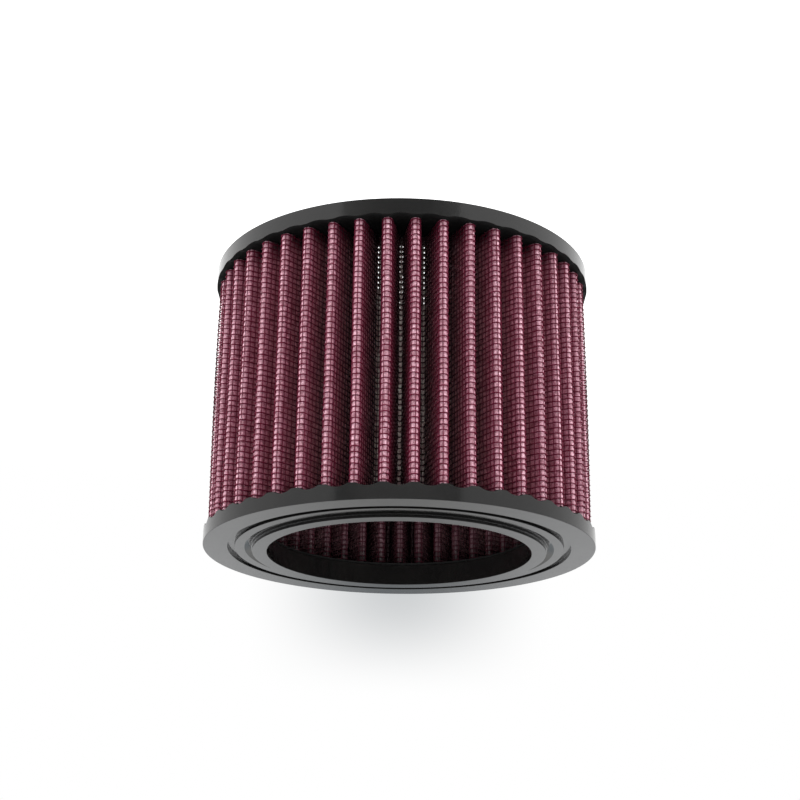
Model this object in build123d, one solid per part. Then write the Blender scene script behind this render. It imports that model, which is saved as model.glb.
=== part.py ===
from build123d import *
import math
import os

# Open-ended round air filter cartridge: a pleated pack of wire screen and cotton
# gauze, bonded at both ends into moulded polyurethane rings. Millimetres, +Z up.
# The origin is the centre of the lower seal ring's bottom face, and a radial
# profile is a list of (radius, height) points.

# Driving dimensions
OVERALL_HEIGHT = 109.3
CAP_RADIUS = 70.8
BORE_RADIUS = 47.9

# Seal face of each end cap, from the bore outwards
SEAL_RING_RADIUS = 53.1
SEAL_RING_HEIGHT = 1.25
RING_LEDGE = 0.4
RING_LEDGE_HEIGHT = 1.05
LAND_RADIUS = 55.9
SLOPE_DEPTH = 0.93
GROOVE_INNER_RADIUS = 59.4
GROOVE_OUTER_RADIUS = 62.0
GROOVE_DEPTH = 1.3
SEAL_ROUND = 0.12
LEDGE_ROUND = 0.06
RIM_BEVEL = 0.15

# Media side of each end cap, hollowed between the pleat tips
LOWER_CREST_HEIGHT = 7.0
LOWER_TROUGH_DEPTH = 1.1
UPPER_CREST_HEIGHT = 7.35
UPPER_TROUGH_DEPTH = 0.5
TROUGH_WIDTH = 7.4
LIP_HEIGHT = 8.6
LIP_RADIUS = 50.2
LIP_ROUND = 0.25

# Pleated pack, from its outer surface inwards
PLEAT_COUNT = 44
TIP_RADIUS = 69.3
FOLD_RADIUS = 1.75
INNER_FOLD_CENTRE = 53.75
SCREEN_THICKNESS = 0.3
PLY_THICKNESS = 0.15
PLY_COUNT = 4
PACK_END_INSET = 3.4
BOND_GAP = 0.03

# Seam at the right, where the two ends of the pack meet in a crimped clip
SEAM_AZIMUTH = -0.34
SEAM_GAP = 0.05
SEAM_END_RADIUS = 51.15
SEAM_BEND_RADIUS = 4.0
CLIP_WALL = 0.4
CLIP_DEPTH = 5.4

# Sizes that follow
PACK_THICKNESS = 2 * SCREEN_THICKNESS + PLY_COUNT * PLY_THICKNESS
OUTER_FOLD_CENTRE = TIP_RADIUS - FOLD_RADIUS
INSIDE_FOLD_RADIUS = FOLD_RADIUS - PACK_THICKNESS
PITCH = 360 / PLEAT_COUNT
PACK_HEIGHT = OVERALL_HEIGHT - 2 * PACK_END_INSET
CLIP_INNER_END = SEAM_END_RADIUS - BOND_GAP - CLIP_WALL
CLIP_SLOT = SEAM_GAP + PACK_THICKNESS + BOND_GAP
SEAM_BEND_START = CLIP_INNER_END + CLIP_DEPTH + BOND_GAP
FACE_HEIGHT = SEAL_RING_HEIGHT


def polar(radius, degrees, centre=(0, 0)):
    turn = math.radians(degrees)
    return centre[0] + radius * math.cos(turn), centre[1] + radius * math.sin(turn)


def arc(centre, radius, start, end):
    angles = (start, (start + end) / 2, end)
    return ThreePointArc(*[polar(radius, angle, centre) for angle in angles])


def flank_tilt():
    """The angle of a flank to the radius through its pleat's tip, in degrees."""
    along = OUTER_FOLD_CENTRE - INNER_FOLD_CENTRE * math.cos(math.radians(PITCH / 2))
    across = INNER_FOLD_CENTRE * math.sin(math.radians(PITCH / 2))
    cross = math.asin((FOLD_RADIUS + INSIDE_FOLD_RADIUS) / math.hypot(along, across))
    return math.degrees(math.atan2(across, along) - cross)


def seam_tilt(bend_centre):
    """The angle to the seam plane of the flank from a seam leg to its pleat's tip."""
    tip = polar(OUTER_FOLD_CENTRE, PITCH / 2)
    along, across = tip[0] - bend_centre[0], tip[1] - bend_centre[1]
    same_side = math.asin((SEAM_BEND_RADIUS - FOLD_RADIUS) / math.hypot(along, across))
    return math.degrees(math.atan2(across, along) + same_side)


def pack_line(depth, extension=0.0):
    """The pack's folded line at a depth below its outer surface, from seam to seam.

    The seam lies on the +X axis. Each fold is an arc, and flanks join the arcs.
    """
    bend_centre = (SEAM_BEND_START, SEAM_GAP + SEAM_BEND_RADIUS)
    bend_radius = SEAM_BEND_RADIUS - depth
    bend_side = 90 - seam_tilt(bend_centre)
    seam_side = bend_side + PITCH / 2
    tip_side = 90 - flank_tilt()
    valley_side = tip_side - PITCH / 2

    first_bend = arc(bend_centre, bend_radius, -90, -bend_side)
    arcs = [first_bend]
    for k in range(PLEAT_COUNT):
        angle = (k + 0.5) * PITCH
        start = angle - (seam_side if k == 0 else tip_side)
        end = angle + (seam_side if k == PLEAT_COUNT - 1 else tip_side)
        tip = polar(OUTER_FOLD_CENTRE, angle)
        arcs.append(arc(tip, FOLD_RADIUS - depth, start, end))
        if k < PLEAT_COUNT - 1:
            angle += PITCH / 2 + 180
            valley = polar(INNER_FOLD_CENTRE, angle - 180)
            radius = INSIDE_FOLD_RADIUS + depth
            arcs.append(arc(valley, radius, angle + valley_side, angle - valley_side))
    arcs.append(arc((bend_centre[0], -bend_centre[1]), bend_radius, bend_side, 90))

    end_radius = SEAM_END_RADIUS - extension
    edges = [Line((end_radius, SEAM_GAP + depth), first_bend @ 0), first_bend]
    for before, after in zip(arcs, arcs[1:]):
        edges += [Line(before @ 1, after @ 0), after]
    edges.append(Line(arcs[-1] @ 1, (end_radius, -SEAM_GAP - depth)))
    return edges


def folded_sheet(outer_depth, inner_depth, extension=0.0):
    """A layer of the pack between two depths, full height and standing on z = 0."""
    outer = pack_line(outer_depth, extension)
    inner = pack_line(inner_depth, extension)
    ends = [Line(outer[0] @ 0, inner[0] @ 0), Line(outer[-1] @ 1, inner[-1] @ 1)]
    section = Face(Wire(outer + inner + ends))
    return extrude(section, PACK_HEIGHT)


def seam_clip(grown=0.0):
    """The U-shaped strip crimped over both ends of the pack."""
    half = CLIP_SLOT + CLIP_WALL + grown
    length = CLIP_DEPTH + 2 * grown
    start = CLIP_INNER_END - grown
    height = PACK_HEIGHT
    outside = Pos(start + length / 2, 0, height / 2) * Box(length, 2 * half, height)
    if grown:
        return outside
    web_side = outside.edges().filter_by(Axis.Z).sort_by(Axis.X)[:2]
    outside = fillet(web_side, CLIP_WALL)
    slot_start = SEAM_END_RADIUS - BOND_GAP
    slot_centre = Pos(slot_start + length / 2, 0, height / 2)
    return outside - slot_centre * Box(length, 2 * CLIP_SLOT, height)


def in_place(shape):
    """Turns a part of the pack so that its seam is at its azimuth, and lifts it."""
    return Pos(0, 0, PACK_END_INSET) * Rot(0, 0, SEAM_AZIMUTH) * shape


def ring_of(points, rounds=None):
    """A closed (radius, height) profile turned about Z, with some corners rounded."""
    profile = make_face(Polyline(*points, close=True))
    for radius, corners in (rounds or {}).items():
        chosen = [profile.vertices().sort_by_distance((*at, 0))[0] for at in corners]
        profile = fillet(chosen, radius)
    return revolve(Plane.XZ * profile, Axis.Z)


def cap_body(crest_height):
    """The cap with its seal face down and the seal ring on z = 0, with no lip."""
    bore_corner = (BORE_RADIUS, 0)
    ring_corner = (SEAL_RING_RADIUS, 0)
    ledge_radius = SEAL_RING_RADIUS + RING_LEDGE
    ledge = [(r, RING_LEDGE_HEIGHT) for r in (SEAL_RING_RADIUS, ledge_radius)]
    ring_foot = (ledge_radius, FACE_HEIGHT + SLOPE_DEPTH)
    land_edge = (LAND_RADIUS, FACE_HEIGHT)
    groove_radii = (GROOVE_INNER_RADIUS, GROOVE_OUTER_RADIUS)
    groove_edges = [(r, FACE_HEIGHT) for r in groove_radii]
    groove_floor = [(r, z + GROOVE_DEPTH) for r, z in groove_edges]
    rim = [
        (CAP_RADIUS - RIM_BEVEL, FACE_HEIGHT),
        (CAP_RADIUS, FACE_HEIGHT + RIM_BEVEL),
        (CAP_RADIUS, crest_height),
        (BORE_RADIUS, crest_height),
    ]
    inner_part = [bore_corner, ring_corner, *ledge, ring_foot, land_edge]
    outer_part = [groove_edges[0], *groove_floor, groove_edges[1], *rim]
    rounded = [bore_corner, ring_corner, ring_foot, land_edge, *groove_edges]
    rounded += groove_floor
    return ring_of(inner_part + outer_part, {SEAL_ROUND: rounded, LEDGE_ROUND: ledge})


def trough_cutter(crest_height, depth):
    """A round bar along +X that hollows the media side between two pleat tips."""
    radius = ((TROUGH_WIDTH / 2) ** 2 + depth**2) / (2 * depth)
    length = CAP_RADIUS + 1 - LIP_RADIUS
    axis_height = crest_height - depth + radius
    bar = Rot(0, 90, 0) * Cylinder(radius, length)
    return Pos(LIP_RADIUS + length / 2, 0, axis_height) * bar


def cap_lip():
    """The collar round the bore, which stands higher than the rest of the cap."""
    low = LOWER_CREST_HEIGHT / 2
    top = [(LIP_RADIUS, LIP_HEIGHT), (BORE_RADIUS, LIP_HEIGHT)]
    foot = [(BORE_RADIUS, low), (LIP_RADIUS, low)]
    return ring_of([*foot, *top], {LIP_ROUND: top})


def end_cap(crest_height, trough_depth):
    """A whole cap, seal face down, before the pack's slot is cut."""
    cutter = trough_cutter(crest_height, trough_depth)
    troughs = [Rot(0, 0, SEAM_AZIMUTH + k * PITCH) * cutter for k in range(PLEAT_COUNT)]
    return cap_body(crest_height) - troughs + cap_lip()


os.makedirs("parts", exist_ok=True)

slot = in_place(folded_sheet(-BOND_GAP, PACK_THICKNESS + BOND_GAP, BOND_GAP))
slot += in_place(seam_clip(BOND_GAP))
turned_over = Pos(0, 0, OVERALL_HEIGHT) * Rot(0, 0, 2 * SEAM_AZIMUTH) * Rot(180, 0, 0)
parts = {
    "lower_end_cap": end_cap(LOWER_CREST_HEIGHT, LOWER_TROUGH_DEPTH) - slot,
    "upper_end_cap": turned_over * end_cap(UPPER_CREST_HEIGHT, UPPER_TROUGH_DEPTH) - slot,
    "outer_wire_screen": in_place(folded_sheet(0, SCREEN_THICKNESS)),
    "inner_wire_screen": in_place(
        folded_sheet(PACK_THICKNESS - SCREEN_THICKNESS, PACK_THICKNESS)
    ),
    "seam_clip": in_place(seam_clip()),
}
for k in range(PLY_COUNT):
    depth = SCREEN_THICKNESS + k * PLY_THICKNESS
    parts[f"gauze_ply_{k + 1}"] = in_place(folded_sheet(depth, depth + PLY_THICKNESS))

for name, shape in parts.items():
    print(name, shape.is_valid, round(shape.volume), shape.bounding_box())
    export_step(shape, f"parts/{name}.step")
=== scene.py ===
import bpy
import math
import numpy as np
from mathutils import Matrix, Vector


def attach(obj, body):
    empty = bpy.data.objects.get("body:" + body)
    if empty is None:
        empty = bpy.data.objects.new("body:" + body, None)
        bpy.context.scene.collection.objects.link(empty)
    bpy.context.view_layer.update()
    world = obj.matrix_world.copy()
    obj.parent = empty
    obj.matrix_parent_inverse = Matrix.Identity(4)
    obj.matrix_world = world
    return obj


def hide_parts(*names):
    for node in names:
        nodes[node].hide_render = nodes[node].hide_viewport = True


# Round pleated air filter: moulded rubber end caps, and a pleated pack of oiled
# cotton gauze between two woven wire screens. Sizes are millimetres until a mesh
# is made, in the CAD model's frame.

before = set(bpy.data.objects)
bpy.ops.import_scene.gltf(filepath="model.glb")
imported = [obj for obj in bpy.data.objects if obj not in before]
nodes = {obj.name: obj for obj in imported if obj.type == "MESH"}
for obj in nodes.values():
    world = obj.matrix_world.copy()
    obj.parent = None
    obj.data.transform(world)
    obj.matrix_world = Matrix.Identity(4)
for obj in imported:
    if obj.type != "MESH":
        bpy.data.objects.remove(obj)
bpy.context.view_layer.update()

MM = 0.001

# Height of the whole cartridge, as in the CAD model
OVERALL_HEIGHT = 109.3

# Pleated pack, as in the CAD model
PLEAT_COUNT = 44
PITCH = 360 / PLEAT_COUNT
TIP_RADIUS = 69.3
FOLD_RADIUS = 1.75
INNER_FOLD_CENTRE = 53.75
PACK_THICKNESS = 1.2
PACK_BOTTOM = 3.4
PACK_HEIGHT = 102.5
SEAM_AZIMUTH = -0.34
SEAM_GAP = 0.05
SEAM_END_RADIUS = 51.15
SEAM_BEND_START = 56.15
SEAM_BEND_RADIUS = 4.0
OUTER_FOLD_CENTRE = TIP_RADIUS - FOLD_RADIUS
INSIDE_FOLD_RADIUS = FOLD_RADIUS - PACK_THICKNESS

# Wire screens and gauze
WIRE_PITCH = 1.905
HOOP_RADIUS = 0.22
HOOP_WANDER = 0.13
HOOP_WEAVE = 0.05
UPRIGHT_RADIUS = 0.15
UPRIGHT_WEAVE = 0.12
HOOP_COUNT = 53
HOOP_RISE = PACK_HEIGHT / HOOP_COUNT
OUTER_WIRE_DEPTH = 0.15
INNER_WIRE_DEPTH = 1.05
HOOP_SHIFT = 0.05
HOOP_WANDER_RUN = 2.6
HOOP_SEED = 100
HOOP_PIECES = 4
UPRIGHT_PIECES = 2

# The outer screen stands off the gauze at its tips, most at the left and right: by
# how much, over what azimuth in degrees, and how far along the line from a tip
LOOSE_LEFT = 0.7
LOOSE_RIGHT = 0.45
LOOSE_WIDTH = 24
LOOSE_REACH = 4.5
LOOSE_SEED = 5

# The pleats' lean, and a weaker twist of their halves: degrees, waves and seeds
LEAN_DEGREES = 0.16
LEAN_RATE, LEAN_SEED = 9, 3
TWIST_RATE, TWIST_SEED = 14, 8

# Least distances along the line: between cross sections, between the gauze mesh's
# columns, and between its columns and the pores
STATION_GAP = 0.12
COLUMN_GAP = 0.08
PORE_MARGIN = 0.15

# How unevenly the gauze swells, and how far before a tip a long ply is cut in pieces
SWELL_LOW, SWELL_HIGH = 0.72, 1.14
SWELL_SEED = 11
CUT_BEFORE_TIP = 4

# Waves in a wobble, and the spread of their rates and phases
NOISE_OCTAVES = 3
NOISE_RATES = (0.8, 1.2)
NOISE_PHASES = (0, 6.28)

# Media side of the end caps, as in the CAD model
LOWER_CREST_HEIGHT = 7.0
LOWER_TROUGH_DEPTH = 1.1
UPPER_CREST_HEIGHT = 7.35
UPPER_TROUGH_DEPTH = 0.5
TROUGH_WIDTH = 7.4
SKIN_INNER_RADIUS = 50.3
SKIN_OUTER_RADIUS = 70.65
SKIN_LIFT = 0.03
SKIN_DEPTH = 0.4

# The skin round the collar, as (radius, height) points from the bore outwards
COLLAR_SKIN = (
    (47.87, 8.10),
    (47.87, 8.36),
    (47.95, 8.55),
    (48.12, 8.63),
    (49.98, 8.63),
    (50.15, 8.55),
    (50.23, 8.36),
)
PLAIN_SKIN_RINGS = 10
SKIN_STEPS_PER_PLEAT = 16

# The rubber at the pack's foot, as (distance out from the pack, rise) points. A rise
# is a share of the climb, or if it is negative, millimetres below the cap's surface.
POTTING_PROFILE = (
    (0.30, -0.4),
    (0.28, 0.05),
    (0.20, 0.32),
    (0.15, 0.62),
    (0.12, 1.0),
    (-0.25, 0.95),
    (-0.25, -0.4),
)

# How high that rubber climbs, with its slow and its quick variation
CLIMB = 0.32
CLIMB_SWELL = 0.12
CLIMB_RIPPLE = 0.06

# Small openings in the gauze where it is stretched round the inner folds
PORE_FROM, PORE_TO = 17, 43
PORE_LOW, PORE_HIGH = 0.30, 0.72
PORE_LEVELS = range(34, 50)
PORE_SEED = 2279


def polar(radius, degrees, centre=(0.0, 0.0)):
    turn = math.radians(degrees)
    return np.array(
        (centre[0] + radius * math.cos(turn), centre[1] + radius * math.sin(turn))
    )


def flank_tilt():
    """The angle of a flank to the radius through its pleat's tip, in degrees."""
    along = OUTER_FOLD_CENTRE - INNER_FOLD_CENTRE * math.cos(math.radians(PITCH / 2))
    across = INNER_FOLD_CENTRE * math.sin(math.radians(PITCH / 2))
    cross = math.asin((FOLD_RADIUS + INSIDE_FOLD_RADIUS) / math.hypot(along, across))
    return math.degrees(math.atan2(across, along) - cross)


def seam_tilt(bend_centre):
    """The angle to the seam plane of the flank from a seam leg to its pleat's tip."""
    tip = polar(OUTER_FOLD_CENTRE, PITCH / 2)
    along, across = tip[0] - bend_centre[0], tip[1] - bend_centre[1]
    same_side = math.asin((SEAM_BEND_RADIUS - FOLD_RADIUS) / math.hypot(along, across))
    return math.degrees(math.atan2(across, along) + same_side)


class PackLine:
    """The pack's folded line at one depth below its outer surface, by length."""

    def __init__(self, depth):
        bend_centre = (SEAM_BEND_START, SEAM_GAP + SEAM_BEND_RADIUS)
        far_centre = (SEAM_BEND_START, -SEAM_GAP - SEAM_BEND_RADIUS)
        bend_radius = SEAM_BEND_RADIUS - depth
        bend_side = 90 - seam_tilt(bend_centre)
        seam_side = bend_side + PITCH / 2
        tip_side = 90 - flank_tilt()
        valley_side = tip_side - PITCH / 2
        bends = [(bend_centre, bend_radius, -90, -bend_side)]
        for k in range(PLEAT_COUNT):
            angle = (k + 0.5) * PITCH
            start = angle - (seam_side if k == 0 else tip_side)
            end = angle + (seam_side if k == PLEAT_COUNT - 1 else tip_side)
            tip = polar(OUTER_FOLD_CENTRE, angle)
            bends.append((tip, FOLD_RADIUS - depth, start, end))
            if k < PLEAT_COUNT - 1:
                angle += PITCH / 2 + 180
                valley = polar(INNER_FOLD_CENTRE, angle - 180)
                radius = INSIDE_FOLD_RADIUS + depth
                bends.append((valley, radius, angle + valley_side, angle - valley_side))
        bends.append((far_centre, bend_radius, bend_side, 90))

        self.rows = []
        self.bends = []
        self.length = 0.0
        here = np.array((SEAM_END_RADIUS, SEAM_GAP + depth))
        for centre, radius, start, end in bends:
            self.straight(here, polar(radius, start, centre))
            side = 1 if end > start else -1
            heading = math.radians(start + 90 * side)
            run = radius * math.radians(abs(end - start))
            at = polar(radius, start, centre)
            self.rows.append((self.length, *at, heading, side / radius))
            self.bends.append((self.length, self.length + run))
            self.length += run
            here = polar(radius, end, centre)
        self.straight(here, np.array((SEAM_END_RADIUS, -SEAM_GAP - depth)))
        self.rows = np.array(self.rows)

    def straight(self, here, there):
        step = there - here
        heading = math.atan2(step[1], step[0])
        self.rows.append((self.length, *here, heading, 0.0))
        self.length += math.hypot(*step)

    def at(self, run):
        """Points and outward directions at lengths along the line. The seam is at +X."""
        run = np.asarray(run, float)
        row = np.searchsorted(self.rows[:, 0], run, side="right") - 1
        start, x, y, heading, curve = self.rows[row.clip(0)].T
        step = run - start
        turned = heading + curve * step
        bent = np.abs(curve) > 0
        safe = np.where(bent, curve, 1.0)
        x = x + np.where(
            bent, (np.sin(turned) - np.sin(heading)) / safe, np.cos(heading) * step
        )
        y = y + np.where(
            bent, (np.cos(heading) - np.cos(turned)) / safe, np.sin(heading) * step
        )
        points = np.stack((x, y), -1)
        outward = np.stack((np.sin(turned), -np.cos(turned)), -1)
        turn = math.radians(SEAM_AZIMUTH)
        spin = np.array(
            ((math.cos(turn), math.sin(turn)), (-math.sin(turn), math.cos(turn)))
        )
        return points @ spin, outward @ spin

    def arcs(self, valleys):
        """The start and end lengths of the outer folds' arcs, or of the inner folds'."""
        return self.bends[2:-1:2] if valleys else self.bends[1:-1:2]

    def stations(self, pitch, tip_steps, valley_steps):
        """Lengths to put cross sections at: each wire crossing, and the bends' own."""
        count = round(self.length / pitch)
        marks = list(np.linspace(0, self.length, count + 1))
        for valleys, steps in ((False, tip_steps), (True, valley_steps)):
            for start, end in self.arcs(valleys):
                marks += list(np.linspace(start, end, steps + 1))
        marks = np.sort(np.array(marks))
        keep = np.append(True, np.diff(marks) > STATION_GAP)
        return marks[keep], count


def open_pores():
    """Which pores are open: by inner fold, then by side of the fold, then by level.

    They thin out downwards, and some sides of some folds have few.
    """
    rng = np.random.default_rng(PORE_SEED)
    slack = rng.uniform(-0.4, 1.6, (PLEAT_COUNT - 1, 2, 1)).clip(0, 1)
    chance = np.linspace(0.0, 1.3, len(PORE_LEVELS)).clip(0, 1)
    return rng.random((PLEAT_COUNT - 1, 2, len(PORE_LEVELS))) < slack * chance


def noise_1d(values, seed):
    """A smooth, repeatable wobble from -1 to 1."""
    rng = np.random.default_rng(seed)
    total = np.zeros_like(values, dtype=float)
    for k in range(NOISE_OCTAVES):
        rate = 2.0**k * rng.uniform(*NOISE_RATES)
        total += np.sin(values * rate + rng.uniform(*NOISE_PHASES)) / 2.0**k
    return total / sum(0.5**k for k in range(NOISE_OCTAVES))


def tidy_mesh(name, points, faces, material):
    """An object from points in millimetres and faces given as arrays of corners."""
    mesh = bpy.data.meshes.new(name)
    corners = np.concatenate([np.asarray(f).reshape(-1) for f in faces]).astype(np.int32)
    totals = np.concatenate(
        [np.full(len(f), np.asarray(f).shape[1], np.int32) for f in faces]
    )
    starts = np.concatenate(([0], np.cumsum(totals)[:-1])).astype(np.int32)
    mesh.vertices.add(len(points))
    mesh.vertices.foreach_set("co", (points * MM).astype(np.float32).ravel())
    mesh.loops.add(len(corners))
    mesh.loops.foreach_set("vertex_index", corners)
    mesh.polygons.add(len(totals))
    mesh.polygons.foreach_set("loop_start", starts)
    mesh.polygons.foreach_set("loop_total", totals)
    mesh.update(calc_edges=True)
    mesh.validate()
    mesh.polygons.foreach_set("use_smooth", np.ones(len(totals), bool))
    mesh.materials.append(material)
    piece = bpy.data.objects.new(name, mesh)
    bpy.context.scene.collection.objects.link(piece)
    return piece


def finish_piece(piece, node=None):
    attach(piece, "root")
    if node:
        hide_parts(node)


# Materials. Their lengths are in metres.

# Sockets of a Mix node that mixes colours
MIX_FACTOR, MIX_FIRST, MIX_SECOND, MIX_RESULT = 0, 6, 7, 2

# Painted light and shade on wire deep between the pleats, and painted shade on outer wire
# that stands free of the tips
PAINTED_DEEP_WIRE_TONE = (0.070, 0.028, 0.034)
PAINTED_FREE_WIRE_SHADE = (0.018, 0.010, 0.012)
FREE_WIRE_FROM, FREE_WIRE_TO = 0.0695, 0.0698

# Painted shade: the pleats' flanks get dark under the upper cap, and their tips don't
PAINTED_UNDER_CAP_SHADE = (0.04, 0.02, 0.024)
UNDER_CAP_FROM, UNDER_CAP_TO = 0.0945, 0.1015
FLANK_EASE = 0.0015


def new_material(name):
    material = bpy.data.materials.new(name)
    material.use_nodes = True
    tree = material.node_tree
    return material, tree, tree.nodes["Principled BSDF"]


def object_noise(tree, scale, detail=2.0, stretch=(1, 1, 1)):
    place = tree.nodes.new("ShaderNodeTexCoord")
    mapping = tree.nodes.new("ShaderNodeMapping")
    mapping.inputs["Scale"].default_value = stretch
    noise = tree.nodes.new("ShaderNodeTexNoise")
    noise.inputs["Scale"].default_value = scale
    noise.inputs["Detail"].default_value = detail
    tree.links.new(place.outputs["Object"], mapping.inputs["Vector"])
    tree.links.new(mapping.outputs["Vector"], noise.inputs["Vector"])
    return noise.outputs["Fac"]


def ramp(tree, value, stops):
    node = tree.nodes.new("ShaderNodeValToRGB")
    while len(node.color_ramp.elements) < len(stops):
        node.color_ramp.elements.new(0.5)
    for element, (position, colour) in zip(node.color_ramp.elements, stops):
        element.position = position
        element.color = (*colour, 1) if len(colour) == 3 else (colour[0],) * 3 + (1,)
    tree.links.new(value, node.inputs["Fac"])
    return node.outputs["Color"]


def bump(tree, relief, distance, strength, after=None):
    node = tree.nodes.new("ShaderNodeBump")
    node.inputs["Strength"].default_value = strength
    node.inputs["Distance"].default_value = distance
    tree.links.new(relief, node.inputs["Height"])
    if after is not None:
        tree.links.new(after, node.inputs["Normal"])
    return node.outputs["Normal"]


def axis_distance(tree):
    """Distance from the bore's axis, in metres."""
    place = tree.nodes.new("ShaderNodeTexCoord")
    flatten = tree.nodes.new("ShaderNodeVectorMath")
    flatten.operation = "MULTIPLY"
    flatten.inputs[1].default_value = (1, 1, 0)
    length = tree.nodes.new("ShaderNodeVectorMath")
    length.operation = "LENGTH"
    tree.links.new(place.outputs["Object"], flatten.inputs[0])
    tree.links.new(flatten.outputs["Vector"], length.inputs[0])
    return length.outputs["Value"]


def object_axis(tree, axis):
    place = tree.nodes.new("ShaderNodeTexCoord")
    split = tree.nodes.new("ShaderNodeSeparateXYZ")
    tree.links.new(place.outputs["Object"], split.inputs["Vector"])
    return split.outputs[axis]


def height(tree):
    return object_axis(tree, "Z")


def aside(tree):
    """Distance from the plane x = 0, in metres."""
    node = tree.nodes.new("ShaderNodeMath")
    node.operation = "ABSOLUTE"
    tree.links.new(object_axis(tree, "X"), node.inputs[0])
    return node.outputs[0]


def spread(tree, value, low, high):
    """The value's place between two limits, eased, from 0 to 1."""
    node = tree.nodes.new("ShaderNodeMapRange")
    node.interpolation_type = "SMOOTHSTEP"
    node.inputs["From Min"].default_value = low
    node.inputs["From Max"].default_value = high
    tree.links.new(value, node.inputs["Value"])
    return node.outputs["Result"]


def blend(tree, factor, first, second, mode="MIX"):
    node = tree.nodes.new("ShaderNodeMix")
    node.data_type = "RGBA"
    node.blend_type = mode
    for socket, colour in ((MIX_FIRST, first), (MIX_SECOND, second)):
        if isinstance(colour, tuple):
            node.inputs[socket].default_value = (*colour, 1)
        else:
            tree.links.new(colour, node.inputs[socket])
    if isinstance(factor, float):
        node.inputs[MIX_FACTOR].default_value = factor
    else:
        tree.links.new(factor, node.inputs[MIX_FACTOR])
    return node.outputs[MIX_RESULT]


def product(tree, first, second):
    node = tree.nodes.new("ShaderNodeMath")
    node.operation = "MULTIPLY"
    tree.links.new(first, node.inputs[0])
    tree.links.new(second, node.inputs[1])
    return node.outputs[0]


def rubber():
    """Black moulded polyurethane with a satin skin."""
    material, tree, shader = new_material("satin_rubber")
    clouds = object_noise(tree, 60, 4)
    colour = ramp(
        tree, clouds, [(0.3, (0.0068, 0.0068, 0.0068)), (0.7, (0.0100, 0.0097, 0.0092))]
    )
    tree.links.new(colour, shader.inputs["Base Color"])
    gloss = ramp(tree, object_noise(tree, 220, 5), [(0.3, (0.11,)), (0.7, (0.17,))])
    tree.links.new(gloss, shader.inputs["Roughness"])
    grain = object_noise(tree, 3800, 2)
    waves = object_noise(tree, 45, 1)
    normal = bump(tree, grain, 0.00003, 0.12)
    normal = bump(tree, waves, 0.0012, 0.015, normal)
    tree.links.new(normal, shader.inputs["Normal"])
    shader.inputs["IOR"].default_value = 1.48
    return material


def matte_rubber():
    """The dull cast skin of the polyurethane between the pleats."""
    material, tree, shader = new_material("cast_skin")
    colour = ramp(
        tree, object_noise(tree, 250, 4), [(0.3, (0.0095,) * 3), (0.7, (0.0140,) * 3)]
    )
    tree.links.new(colour, shader.inputs["Base Color"])
    gloss = ramp(tree, object_noise(tree, 400, 3), [(0.42, (0.75,)), (0.62, (0.45,))])
    tree.links.new(gloss, shader.inputs["Roughness"])
    normal = bump(tree, object_noise(tree, 600, 3), 0.0004, 0.4)
    tree.links.new(normal, shader.inputs["Normal"])
    shader.inputs["Specular IOR Level"].default_value = 0.03
    return material


def wire(name, light, dark, deep, outside):
    """Woven screen wire under a translucent dark red coat of oil."""
    material, tree, shader = new_material(name)
    colour = ramp(tree, object_noise(tree, 900, 3), [(0.3, dark), (0.7, light)])
    # Painted light and shade: deep between the pleats the wire takes one set tone, darker
    # than the outer wire's own colour and lighter than the inner wire's
    depth = spread(tree, axis_distance(tree), deep, outside)
    colour = blend(tree, depth, PAINTED_DEEP_WIRE_TONE, colour)
    # Painted shade: outer wire that stands free of the tips is painted near black
    free = spread(tree, axis_distance(tree), FREE_WIRE_FROM, FREE_WIRE_TO)
    colour = blend(tree, free, colour, PAINTED_FREE_WIRE_SHADE)
    tree.links.new(colour, shader.inputs["Base Color"])
    gloss = ramp(tree, object_noise(tree, 500, 2), [(0.3, (0.30,)), (0.7, (0.45,))])
    tree.links.new(gloss, shader.inputs["Roughness"])
    shader.inputs["Specular IOR Level"].default_value = 0.06
    return material


def radial_tone(tree, stops):
    """A colour that changes with the distance from the bore's axis."""
    low, high = stops[0][0], stops[-1][0]
    share = tree.nodes.new("ShaderNodeMapRange")
    share.inputs["From Min"].default_value = low
    share.inputs["From Max"].default_value = high
    tree.links.new(axis_distance(tree), share.inputs["Value"])
    places = [((radius - low) / (high - low), colour) for radius, colour in stops]
    return ramp(tree, share.outputs["Result"], places)


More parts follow.
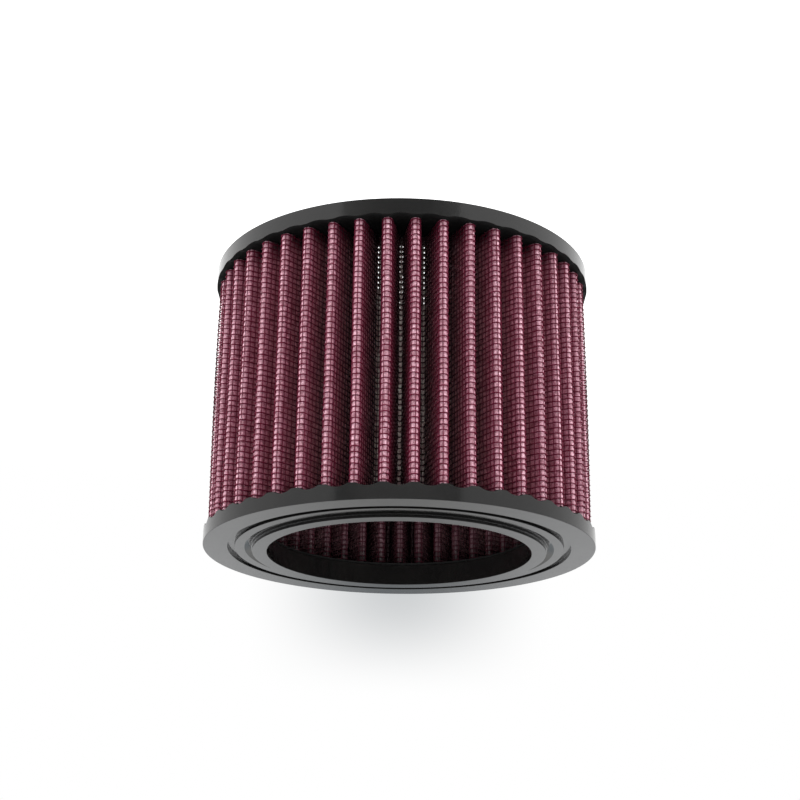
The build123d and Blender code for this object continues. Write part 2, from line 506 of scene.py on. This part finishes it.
def gauze(name, painted_depth_tones, cap_tone, cap_limits, flank_radius=None):
    """Loosely woven cotton, pink with oil, with the folds' light and shade painted into its
    colour by distance from the axis.

    cap_tone is its colour at the caps, between each pair of heights in cap_limits. With a
    flank_radius, that is at the pleats' tips only, and the flanks inside the radius get a
    painted shade under the upper cap.
    """
    material, tree, shader = new_material(name)
    # Painted light and shade of the folds, by distance from the axis
    colour = radial_tone(tree, painted_depth_tones)
    if flank_radius:
        inner, outer = flank_radius - FLANK_EASE, flank_radius + FLANK_EASE
        # Painted shade on the flanks under the upper cap
        under_cap = spread(tree, height(tree), UNDER_CAP_FROM, UNDER_CAP_TO)
        flank = spread(tree, axis_distance(tree), outer, inner)
        colour = blend(tree, product(tree, under_cap, flank), colour, PAINTED_UNDER_CAP_SHADE)
    patches = ramp(
        tree,
        object_noise(tree, 620, 4),
        [(0.36, (0.62, 0.50, 0.53)), (0.64, (1.16, 1.26, 1.24))],
    )
    colour = blend(tree, 1.0, colour, patches, "MULTIPLY")
    threads = ramp(
        tree,
        object_noise(tree, 1900, 5),
        [(0.38, (0.66, 0.52, 0.56)), (0.62, (1.16, 1.24, 1.22))],
    )
    colour = blend(tree, 0.8, colour, threads, "MULTIPLY")
    for low, high in cap_limits:
        near_cap = spread(tree, height(tree), low, high)
        if flank_radius:
            tip = spread(tree, axis_distance(tree), inner, outer)
            near_cap = product(tree, near_cap, tip)
        colour = blend(tree, near_cap, colour, cap_tone)
    tree.links.new(colour, shader.inputs["Base Color"])
    gloss = ramp(tree, object_noise(tree, 700, 3), [(0.3, (0.27,)), (0.7, (0.48,))])
    tree.links.new(gloss, shader.inputs["Roughness"])
    normal = bump(tree, object_noise(tree, 1900, 4), 0.00034, 0.9)
    tree.links.new(normal, shader.inputs["Normal"])
    shader.inputs["IOR"].default_value = 1.58
    return material


def metal():
    """Bare folded aluminium with a light brushing."""
    material, tree, shader = new_material("seam_aluminium")
    streaks = object_noise(tree, 300, 3, (1, 1, 0.05))
    colour = ramp(tree, streaks, [(0.3, (0.50, 0.50, 0.51)), (0.7, (0.66, 0.66, 0.66))])
    tree.links.new(colour, shader.inputs["Base Color"])
    gloss = ramp(tree, streaks, [(0.3, (0.28,)), (0.7, (0.42,))])
    tree.links.new(gloss, shader.inputs["Roughness"])
    shader.inputs["Metallic"].default_value = 1.0
    return material


rubber_material = rubber()
cast_skin_material = matte_rubber()
outer_wire_material = wire(
    "outer_wire_coat",
    light=(0.180, 0.020, 0.048),
    dark=(0.105, 0.011, 0.026),
    deep=0.056,
    outside=0.068,
)
inner_wire_material = wire(
    "inner_wire_coat",
    light=(0.065, 0.012, 0.021),
    dark=(0.040, 0.008, 0.013),
    deep=0.0545,
    outside=0.0523,
)
# Painted light and shade in the outer ply's colour by distance from the axis: pale at the
# valley bottoms for light let through, darkest part way up the flanks, pale again at the
# tips for a highlight
outer_gauze_material = gauze(
    "outer_gauze",
    [
        (0.0538, (0.95, 0.80, 0.76)),
        (0.0556, (0.74, 0.50, 0.52)),
        (0.0605, (0.54, 0.270, 0.305)),
        (0.0650, (0.45, 0.165, 0.215)),
        (0.0678, (0.62, 0.240, 0.330)),
        (0.0691, (0.88, 0.49, 0.585)),
    ],
    cap_tone=(0.36, 0.27, 0.29),
    cap_limits=((0.0070, 0.0056), (0.1012, 0.1024)),
    flank_radius=0.0665,
)
# Painted light and shade in the inner ply's colour by distance from the axis: dim at the
# inner folds' crests, lightest part way out along the flanks, dark deep towards the outer
# folds
inner_gauze_material = gauze(
    "inner_gauze",
    [
        (0.0522, (0.175, 0.085, 0.105)),
        (0.0532, (0.17, 0.080, 0.098)),
        (0.0545, (0.30, 0.160, 0.178)),
        (0.0620, (0.60, 0.360, 0.390)),
        (0.0655, (0.20, 0.120, 0.130)),
        (0.0690, (0.10, 0.060, 0.065)),
    ],
    cap_tone=(0.020, 0.014, 0.015),
    cap_limits=((0.0200, 0.0095),),
)
metal_material = metal()


# Pleated pack


def wrapped_quads(here, there):
    """Quads between matching rings of points, each ring's last point next to its first."""
    quads = np.stack((here, there, np.roll(there, -1, -1), np.roll(here, -1, -1)), -1)
    return quads.reshape(-1, 4)


def tube_rows(centres, side_a, side_b, radius):
    """Square-section tubes, one along each row of centres, capped at both ends."""
    rows, rings = centres.shape[:2]
    around = [side_a, side_b, -side_a, -side_b]
    points = np.stack([centres + radius * s for s in around], 2)
    index = np.arange(rows * rings * 4).reshape(rows, rings, 4)
    quads = wrapped_quads(index[:, :-1], index[:, 1:])
    starts = index[:, 0]
    ends = index[:, -1, ::-1]
    return points.reshape(-1, 3), [quads, starts, ends]


def sway(points):
    """The pleats' small lean from side to side, which dies away at the caps."""
    x, y, z = points.T
    azimuth = np.arctan2(y, x)
    share = (z - PACK_BOTTOM) / PACK_HEIGHT
    lean = noise_1d(azimuth * LEAN_RATE, LEAN_SEED) * np.sin(math.pi * share)
    twist = noise_1d(azimuth * TWIST_RATE, TWIST_SEED) * np.sin(2 * math.pi * share)
    turn = np.radians(LEAN_DEGREES) * (lean + 0.5 * twist)
    out = points.copy()
    out[:, 0] = x * np.cos(turn) - y * np.sin(turn)
    out[:, 1] = x * np.sin(turn) + y * np.cos(turn)
    return out


def fold_share(line, runs, reach):
    """How near lengths along the line are to an outer fold's middle, from 0 to 1."""
    middles = np.array([(start + end) / 2 for start, end in line.arcs(False)])
    nearest = np.abs(runs[:, None] - middles).min(1)
    return np.cos((nearest / reach).clip(0, 1) * math.pi / 2) ** 2


def looseness(azimuth, level):
    """How far the outer screen stands off the gauze at a pleat tip, in millimetres."""
    share = ((level - PACK_BOTTOM) / PACK_HEIGHT).clip(0, 1)
    left = np.exp(-(((np.abs(azimuth) - 180) / LOOSE_WIDTH) ** 2)) * (0.3 + share)
    right = np.exp(-((azimuth / LOOSE_WIDTH) ** 2))
    rise = np.sin(math.pi * share) ** 0.7
    everywhere = 0.10 + 0.08 * noise_1d(azimuth / 5, LOOSE_SEED)
    return rise * (everywhere + LOOSE_LEFT * left + LOOSE_RIGHT * right)


def screen(prefix, node, depth, outward_shift, material, slack=0.0):
    """One woven wire screen: hoops follow the pleats, and uprights stand along them."""
    line = PackLine(depth)
    marks, count = line.stations(WIRE_PITCH, tip_steps=8, valley_steps=4)
    pitch = line.length / count
    levels = PACK_BOTTOM + (np.arange(HOOP_COUNT) + 0.5) * HOOP_RISE

    def stand_off(runs, flat, heights):
        azimuth = np.degrees(np.arctan2(flat[:, 1], flat[:, 0]))
        off = looseness(azimuth[:, None], heights[None])
        return slack * off * fold_share(line, runs, LOOSE_REACH)[:, None]

    flat, outward = line.at(marks)
    phase = np.cos(math.pi * (marks / pitch - 0.5))
    off = stand_off(marks, flat, levels)
    for group, rows in enumerate(np.array_split(np.arange(HOOP_COUNT), HOOP_PIECES)):
        side = np.where(rows % 2 == 0, 1, -1)[:, None]
        stand = outward_shift + HOOP_WEAVE * side * phase[None] + off[:, rows].T
        centres = np.zeros((len(rows), len(marks), 3))
        centres[:, :, :2] = flat + stand[:, :, None] * outward
        wander = [noise_1d(marks / HOOP_WANDER_RUN, HOOP_SEED + row) for row in rows]
        centres[:, :, 2] = levels[rows][:, None] + HOOP_WANDER * np.array(wander)
        away = np.zeros_like(centres)
        away[:, :, :2] = outward
        up = np.zeros_like(centres)
        up[:, :, 2] = 1
        points, faces = tube_rows(centres, away, up, HOOP_RADIUS)
        piece = tidy_mesh(f"{prefix}_hoops_{group + 1}", sway(points), faces, material)
        finish_piece(piece, node)

    places = (np.arange(count) + 0.5) * pitch
    flat, outward = line.at(places)
    ends = np.array((PACK_BOTTOM, PACK_BOTTOM + PACK_HEIGHT))
    heights = np.concatenate((ends[:1], levels, ends[1:]))
    off = stand_off(places, flat, heights)
    crossing = np.concatenate(([0], np.where(np.arange(HOOP_COUNT) % 2 == 0, -1, 1), [0]))
    for group, rows in enumerate(np.array_split(np.arange(count), UPRIGHT_PIECES)):
        side = np.where(rows % 2 == 0, 1, -1)[:, None]
        stand = UPRIGHT_WEAVE * side * crossing[None] - outward_shift / 2 + off[rows]
        centres = np.zeros((len(rows), len(heights), 3))
        centres[:, :, :2] = flat[rows][:, None] + stand[:, :, None] * outward[rows][:, None]
        centres[:, :, 2] = heights
        away = np.zeros_like(centres)
        away[:, :, :2] = outward[rows][:, None]
        along = np.stack((-away[:, :, 1], away[:, :, 0], away[:, :, 2]), -1)
        points, faces = tube_rows(centres, along, away, UPRIGHT_RADIUS)
        piece = tidy_mesh(f"{prefix}_uprights_{group + 1}", sway(points), faces, material)
        finish_piece(piece, node)


def strip_faces(grid, full, closed):
    """Faces between a grid's columns, some of which are full and some only two ends.

    Between two full columns there are quads, except where closed is false.
    """
    quads = np.stack((grid[:-1, :-1], grid[1:, :-1], grid[1:, 1:], grid[:-1, 1:]), -1)
    ends = grid[:, [0, -1]]
    long = np.stack((ends[:-1, 0], ends[1:, 0], ends[1:, 1], ends[:-1, 1]), -1)
    both = full[:-1] & full[1:]
    neither = ~full[:-1] & ~full[1:]
    faces = [quads[closed & both[:, None]], long[neither]]
    for k in np.flatnonzero(~both & ~neither):
        near, far = (grid[i] if full[i] else ends[i] for i in (k, k + 1))
        faces.append(np.concatenate((near[::-1], far))[None])
    return faces


def cloth_columns(line, pitch, count, wire_depth, spacing):
    """Lengths for the mesh's columns, and the four edges of the pores at each fold."""
    runs = np.arange(0.5, count, spacing) * pitch
    if spacing > 1:
        bends = line.stations(WIRE_PITCH * 3, tip_steps=7, valley_steps=1)[0]
        runs = np.concatenate((runs, bends))
    radius = INSIDE_FOLD_RADIUS + wire_depth
    reach = radius * math.radians(PORE_TO)
    turns = np.radians((-PORE_TO, -PORE_FROM, PORE_FROM, PORE_TO))
    pores = []
    for start, end in line.arcs(True):
        middle = (start + end) / 2
        runs = runs[np.abs(runs - middle) > reach + PORE_MARGIN]
        pores.append(middle + radius * turns)
    pores = np.array(pores)
    runs = np.sort(np.concatenate(([0.0], runs, pores.ravel(), [line.length])))
    return runs[np.append(True, np.diff(runs) > COLUMN_GAP)], pores


def cloth_faces(rows, is_full, is_fine, is_open):
    """Faces of a ply: its swollen side, its plain side, its edges and its pores' walls."""
    n = len(is_fine)
    f = np.arange(n * rows).reshape(n, rows)
    b = f + n * rows
    faces = strip_faces(f, is_full, ~is_open)
    faces += [face[:, ::-1] for face in strip_faces(b, is_fine, ~is_open)]
    faces.append(np.stack((f[:-1, 0], b[:-1, 0], b[1:, 0], f[1:, 0]), -1))
    faces.append(np.stack((f[:-1, -1], f[1:, -1], b[1:, -1], b[:-1, -1]), -1))
    first, last = (f[k] if is_full[k] else f[k, [0, -1]] for k in (0, -1))
    faces.append(np.concatenate((first, b[0, [-1, 0]]))[None])
    faces.append(np.concatenate((last[::-1], b[-1, [0, -1]]))[None])
    walls = []
    for k, r in np.argwhere(is_open):
        walls += [
            (f[k, r], b[k, r], b[k, r + 1], f[k, r + 1]),
            (f[k + 1, r], f[k + 1, r + 1], b[k + 1, r + 1], b[k + 1, r]),
            (f[k, r], f[k + 1, r], b[k + 1, r], b[k, r]),
            (f[k, r + 1], b[k, r + 1], b[k + 1, r + 1], f[k + 1, r + 1]),
        ]
    if walls:
        faces.append(np.array(walls))
    return faces


def cloth(name, node, face_depth, back_depth, wire_depth, puff, spacing, groups, material):
    """A ply of gauze that swells by puff through the screen's openings on one face.

    That face is at face_depth and the plain one at back_depth. With no puff both are
    plain, and only the pores need fine columns. spacing is the width of the mesh's
    columns as a share of the wires' pitch. Round the inner folds the gauze has pores,
    two columns of them to a fold.
    """
    line = PackLine(wire_depth)
    count = round(line.length / WIRE_PITCH)
    pitch = line.length / count
    inward = 1 if back_depth > face_depth else -1

    runs, pores = cloth_columns(line, pitch, count, wire_depth, spacing)
    fine = np.isin(runs, pores)

    steps = [k + 0.5 + s for k in range(HOOP_COUNT) for s in (0, PORE_LOW, PORE_HIGH)]
    steps = np.array([0, *steps[:-1], HOOP_COUNT])
    levels = PACK_BOTTOM + steps * HOOP_RISE
    rows = len(levels)
    opened = np.zeros((len(runs) - 1, rows - 1), bool)
    sides = np.searchsorted(runs, pores[:, (0, 2)])
    opened[sides[:, :, None], 3 * np.array(PORE_LEVELS) + 2] = open_pores()

    flat, outward = line.at(runs.clip(0, line.length))
    across = np.abs(np.cos(math.pi * runs / pitch))
    upward = np.abs(np.cos(math.pi * steps))
    rng = np.random.default_rng(SWELL_SEED)
    grain = rng.uniform(SWELL_LOW, SWELL_HIGH, (len(runs), rows))
    swell = puff * (across[:, None] * upward[None]) ** 0.6 * grain
    offset = wire_depth - face_depth + inward * swell
    front = np.zeros((len(runs), rows, 3))
    front[:, :, :2] = flat[:, None] + offset[:, :, None] * outward[:, None]
    front[:, :, 2] = levels
    rear = np.zeros((len(runs), rows, 3))
    rear[:, :, :2] = (flat + (wire_depth - back_depth) * outward)[:, None]
    rear[:, :, 2] = levels

    tips = [line.arcs(False)[k * PLEAT_COUNT // groups] for k in range(1, groups)]
    seams = [start - CUT_BEFORE_TIP for start, _ in tips]
    cuts = [0, *np.searchsorted(runs, seams), len(runs) - 1]
    for group, (low, high) in enumerate(zip(cuts, cuts[1:])):
        part = slice(low, high + 1)
        is_fine, is_open = fine[part], opened[low:high]
        is_full = is_fine if puff == 0 else np.ones(len(is_fine), bool)
        used = np.repeat(np.concatenate((is_full, is_fine))[:, None], rows, 1)
        used[:, [0, -1]] = True
        faces = cloth_faces(rows, is_full, is_fine, is_open)
        if inward < 0:
            faces = [face[:, ::-1] for face in faces]
        renumber = np.cumsum(used.ravel()) - 1
        faces = [renumber[face] for face in faces if len(face)]
        points = np.concatenate((front[part].reshape(-1, 3), rear[part].reshape(-1, 3)))
        points = points[used.ravel()]
        title = f"{name}_{group + 1}" if groups > 1 else name
        piece = tidy_mesh(title, sway(points), faces, material)
        finish_piece(piece, node)


def media_side(radii, turns, crest_height, trough_depth):
    """Height of a cap's media side at radii, and at turns in degrees from the seam."""
    off_centre = np.abs((turns + PITCH / 2) % PITCH - PITCH / 2)
    across = (radii * np.sin(np.radians(off_centre))).clip(0, TROUGH_WIDTH / 2)
    bar = ((TROUGH_WIDTH / 2) ** 2 + trough_depth**2) / (2 * trough_depth)
    return crest_height - trough_depth + bar - np.sqrt(bar**2 - across**2)


def potting(name, crest_height, trough_depth, upper, seed):
    """The rubber that has crept a little way up the pack where it leaves the cap."""
    line = PackLine(0.0)
    runs, _ = line.stations(0.9, tip_steps=10, valley_steps=5)
    flat, outward = line.at(runs)
    turns = np.degrees(np.arctan2(flat[:, 1], flat[:, 0])) - SEAM_AZIMUTH
    surface = media_side(np.hypot(*flat.T), turns, crest_height, trough_depth)
    climb = CLIMB + CLIMB_SWELL * noise_1d(runs / 1.7, seed)
    climb += CLIMB_RIPPLE * noise_1d(runs * 2.3, seed + 1)
    ring = []
    for outside, share in POTTING_PROFILE:
        rise = surface + (climb * share if share > 0 else share)
        rise = OVERALL_HEIGHT - rise if upper else rise
        ring.append(np.concatenate((flat + outside * outward, rise[:, None]), 1))
    points = np.stack(ring, 1)
    n, m = points.shape[:2]
    index = np.arange(n * m).reshape(n, m)
    faces = [wrapped_quads(index[:-1], index[1:]), index[:1], index[-1:, ::-1]]
    if upper:
        faces = [face[:, ::-1] for face in faces]
    piece = tidy_mesh(name, points.reshape(-1, 3), faces, cast_skin_material)
    finish_piece(piece)


def cast_skin(name, crest_height, trough_depth, upper):
    """The dull skin over the media side of a cap, up to the rim and the collar."""
    collar = np.array(COLLAR_SKIN)
    plain = np.linspace(SKIN_INNER_RADIUS, SKIN_OUTER_RADIUS, PLAIN_SKIN_RINGS)
    radii = np.concatenate((collar[:, 0], plain))
    steps = PLEAT_COUNT * SKIN_STEPS_PER_PLEAT
    turns = np.arange(steps) * 360 / steps
    surface = media_side(radii[:, None], turns, crest_height, trough_depth)
    surface[: len(collar)] = collar[:, 1:]
    azimuth = np.radians(turns + SEAM_AZIMUTH)
    layers = []
    for lift in (SKIN_LIFT, -SKIN_DEPTH):
        rise = OVERALL_HEIGHT - surface - lift if upper else surface + lift
        layer = np.zeros((*rise.shape, 3))
        layer[:, :, 0] = radii[:, None] * np.cos(azimuth)
        layer[:, :, 1] = radii[:, None] * np.sin(azimuth)
        layer[:, :, 2] = rise
        layers.append(layer)
    points = np.concatenate((layers[0], layers[1][::-1]))
    index = np.arange(points.shape[0] * points.shape[1]).reshape(points.shape[:2])
    quads = wrapped_quads(index, np.roll(index, -1, 0))
    if upper:
        quads = quads[:, ::-1]
    piece = tidy_mesh(name, points.reshape(-1, 3), [quads], cast_skin_material)
    finish_piece(piece)


screen(
    "outer_screen",
    "outer_wire_screen",
    OUTER_WIRE_DEPTH,
    HOOP_SHIFT,
    outer_wire_material,
    slack=1.0,
)
screen(
    "inner_screen",
    "inner_wire_screen",
    INNER_WIRE_DEPTH,
    -HOOP_SHIFT,
    inner_wire_material,
)
cloth(
    "gauze_1",
    "gauze_ply_1",
    face_depth=0.52,
    back_depth=0.55,
    wire_depth=OUTER_WIRE_DEPTH,
    puff=0.38,
    spacing=1 / 3,
    groups=5,
    material=outer_gauze_material,
)
cloth(
    "gauze_4",
    "gauze_ply_4",
    face_depth=0.72,
    back_depth=0.68,
    wire_depth=INNER_WIRE_DEPTH,
    puff=0.34,
    spacing=1 / 2,
    groups=4,
    material=inner_gauze_material,
)
cloth(
    "gauze_2",
    "gauze_ply_2",
    face_depth=0.56,
    back_depth=0.61,
    wire_depth=0.45,
    puff=0.0,
    spacing=2,
    groups=1,
    material=outer_gauze_material,
)
cloth(
    "gauze_3",
    "gauze_ply_3",
    face_depth=0.67,
    back_depth=0.62,
    wire_depth=0.75,
    puff=0.0,
    spacing=2,
    groups=1,
    material=inner_gauze_material,
)
lower_side = (LOWER_CREST_HEIGHT, LOWER_TROUGH_DEPTH, False)
upper_side = (UPPER_CREST_HEIGHT, UPPER_TROUGH_DEPTH, True)
potting("lower_potting", *lower_side, seed=21)
potting("upper_potting", *upper_side, seed=31)
cast_skin("lower_cast_skin", *lower_side)
cast_skin("upper_cast_skin", *upper_side)

for node, material in (
    ("lower_end_cap", rubber_material),
    ("upper_end_cap", rubber_material),
    ("seam_clip", metal_material),
):
    nodes[node].data.materials.clear()
    nodes[node].data.materials.append(material)


# Studio: a pale floor, and a white tent that is open towards the camera. Metres.

FLOOR_HEIGHT = -0.20
FLOOR_REACH = 4.0
FLOOR_CORNERS = ((-1, -1), (1, -1), (1, 1), (-1, 1))

# The opening: azimuths from the camera's side in degrees, distance and heights
OPENING_FROM, OPENING_TO = -35, 33
OPENING_DISTANCE = 0.8
OPENING_BOTTOM, OPENING_TOP = -0.14, 0.95
OPENING_STEPS = 12

# The sky's brightness, and the tone of the object's soft shade painted on it
SKY_LOW = (1.0, 1.0, 1.0)
SKY_TOP_FRONT = (1.5, 1.5, 1.5)
SKY_TOP_BEHIND = (1.85, 1.85, 1.85)
SHADE_TONE = (0.62, 0.635, 0.645)

# Where the softboxes aim: the middle of the object
AIM = (0, 0, 0.055)


def stage_mesh(name, points, faces, material):
    mesh = bpy.data.meshes.new(name)
    mesh.from_pydata(points, [], faces)
    mesh.materials.append(material)
    piece = bpy.data.objects.new(name, mesh)
    bpy.context.scene.collection.objects.link(piece)
    return piece


def floor_material():
    """A pale floor with a painted shade of the object along its middle, deeper and bluer
    far behind.
    """
    material, tree, shader = new_material("pale_floor")
    # Painted shade: darker along the middle, and more so far behind
    share = spread(tree, aside(tree), 0.0, 0.20)
    far = spread(tree, object_axis(tree, "Y"), 0.65, 1.0)
    middle = blend(tree, far, (0.34, 0.34, 0.335), (0.20, 0.22, 0.235))
    colour = blend(tree, share, middle, (0.54, 0.545, 0.55))
    tree.links.new(colour, shader.inputs["Base Color"])
    shader.inputs["Roughness"].default_value = 0.9
    shader.inputs["Specular IOR Level"].default_value = 0.0
    return material


def room_material():
    """The dark room, which dims upwards in the middle and brightens at the sides."""
    material, tree, shader = new_material("dark_room")
    up = spread(tree, height(tree), 0.22, 0.50)
    middle = ramp(tree, up, [(0, (0.37,) * 3), (1, (0.22,) * 3)])
    sides = ramp(tree, up, [(0, (0.26,) * 3), (1, (0.42,) * 3)])
    colour = blend(tree, spread(tree, aside(tree), 0.20, 0.44), middle, sides)
    tree.links.new(colour, shader.inputs["Base Color"])
    shader.inputs["Specular IOR Level"].default_value = 0.0
    return material


def opening(name, material):
    """The dark room seen through the tent's opening, which only reflections show."""
    points, faces = [], []
    for k in range(OPENING_STEPS + 1):
        azimuth = OPENING_FROM + (OPENING_TO - OPENING_FROM) * k / OPENING_STEPS
        turn = math.radians(azimuth)
        x, y = OPENING_DISTANCE * math.sin(turn), -OPENING_DISTANCE * math.cos(turn)
        points += [(x, y, OPENING_BOTTOM), (x, y, OPENING_TOP)]
        if k:
            faces.append((2 * k - 2, 2 * k, 2 * k + 1, 2 * k - 1))
    stage_mesh(name, points, faces, material).visible_camera = False


def white_tent():
    """The tent's own light, brightest above and behind, with a painted soft shade of the
    object on it.

    A direction stands for a place: it runs across, along and up from the object. The
    painted shade is straight below the object on the backdrop.
    """
    world = bpy.data.worlds.new("white_tent")
    world.use_nodes = True
    tree = world.node_tree
    background = tree.nodes["Background"]
    background.inputs["Strength"].default_value = 1.0
    place = tree.nodes.new("ShaderNodeTexCoord")
    split = tree.nodes.new("ShaderNodeSeparateXYZ")
    tree.links.new(place.outputs["Generated"], split.inputs["Vector"])
    across, along, up = (split.outputs[axis] for axis in "XYZ")
    behind = spread(tree, along, 0.25, 0.75)
    top = blend(tree, behind, SKY_TOP_FRONT, SKY_TOP_BEHIND)
    sky = blend(tree, spread(tree, up, 0.28, 0.48), SKY_LOW, top)
    # Painted shade: a soft grey patch in the sky just below the object
    shade = behind
    for value, clear, full in (
        (up, 0.143, 0.215),
        (up, 0.30, 0.24),
        (across, 0.107, 0.0),
        (across, -0.107, 0.0),
    ):
        shade = product(tree, shade, spread(tree, value, clear, full))
    sky = blend(tree, shade, sky, SHADE_TONE)
    tree.links.new(sky, background.inputs["Color"])
    return world


def softbox(name, place, wide, tall, power):
    """A soft rectangular light. Only the top one shows in reflections."""
    light = bpy.data.lights.new(name, "AREA")
    light.shape = "RECTANGLE"
    light.size = wide
    light.size_y = tall
    light.energy = power
    lamp = bpy.data.objects.new(name, light)
    bpy.context.scene.collection.objects.link(lamp)
    lamp.location = place
    lamp.rotation_euler = (Vector(AIM) - Vector(place)).to_track_quat("-Z", "Y").to_euler()
    lamp.visible_camera = False
    lamp.visible_glossy = name == "softbox_top"


floor_points = [(FLOOR_REACH * x, FLOOR_REACH * y, FLOOR_HEIGHT) for x, y in FLOOR_CORNERS]
stage_mesh("floor", floor_points, [(0, 1, 2, 3)], floor_material())
opening("tent_opening", room_material())
bpy.context.scene.world = white_tent()
softbox("softbox_top", (0, -0.55, 1.25), wide=1.1, tall=0.9, power=12)
softbox("softbox_left", (-1.0, -0.15, 0.55), wide=0.5, tall=0.7, power=6)
softbox("softbox_right", (1.0, -0.15, 0.55), wide=0.5, tall=0.7, power=6)

# Camera at the photograph's viewing angle, in metres, radians and millimetres

CAMERA_PLACE = (-0.000276, -0.520962, -0.126993)
CAMERA_RISE = 0.34452
CAMERA_ROLL = 0.0108314
CAMERA_LENS = 66.191
SENSOR_WIDTH = 36
NEAR_LIMIT = 0.01

ahead = Vector((0, math.cos(CAMERA_RISE), math.sin(CAMERA_RISE)))
right = Vector((1, 0, 0))
above = right.cross(ahead)
right_rolled = math.cos(CAMERA_ROLL) * right + math.sin(CAMERA_ROLL) * above
above_rolled = math.cos(CAMERA_ROLL) * above - math.sin(CAMERA_ROLL) * right
lens = bpy.data.cameras.new("camera")
lens.sensor_width = SENSOR_WIDTH
lens.lens = CAMERA_LENS
lens.clip_start = NEAR_LIMIT
camera = bpy.data.objects.new("camera", lens)
bpy.context.scene.collection.objects.link(camera)
turned = Matrix((right_rolled, above_rolled, -ahead)).transposed().to_4x4()
camera.matrix_world = Matrix.Translation(CAMERA_PLACE) @ turned
bpy.context.scene.camera = camera

bpy.context.scene.view_settings.view_transform = "Standard"
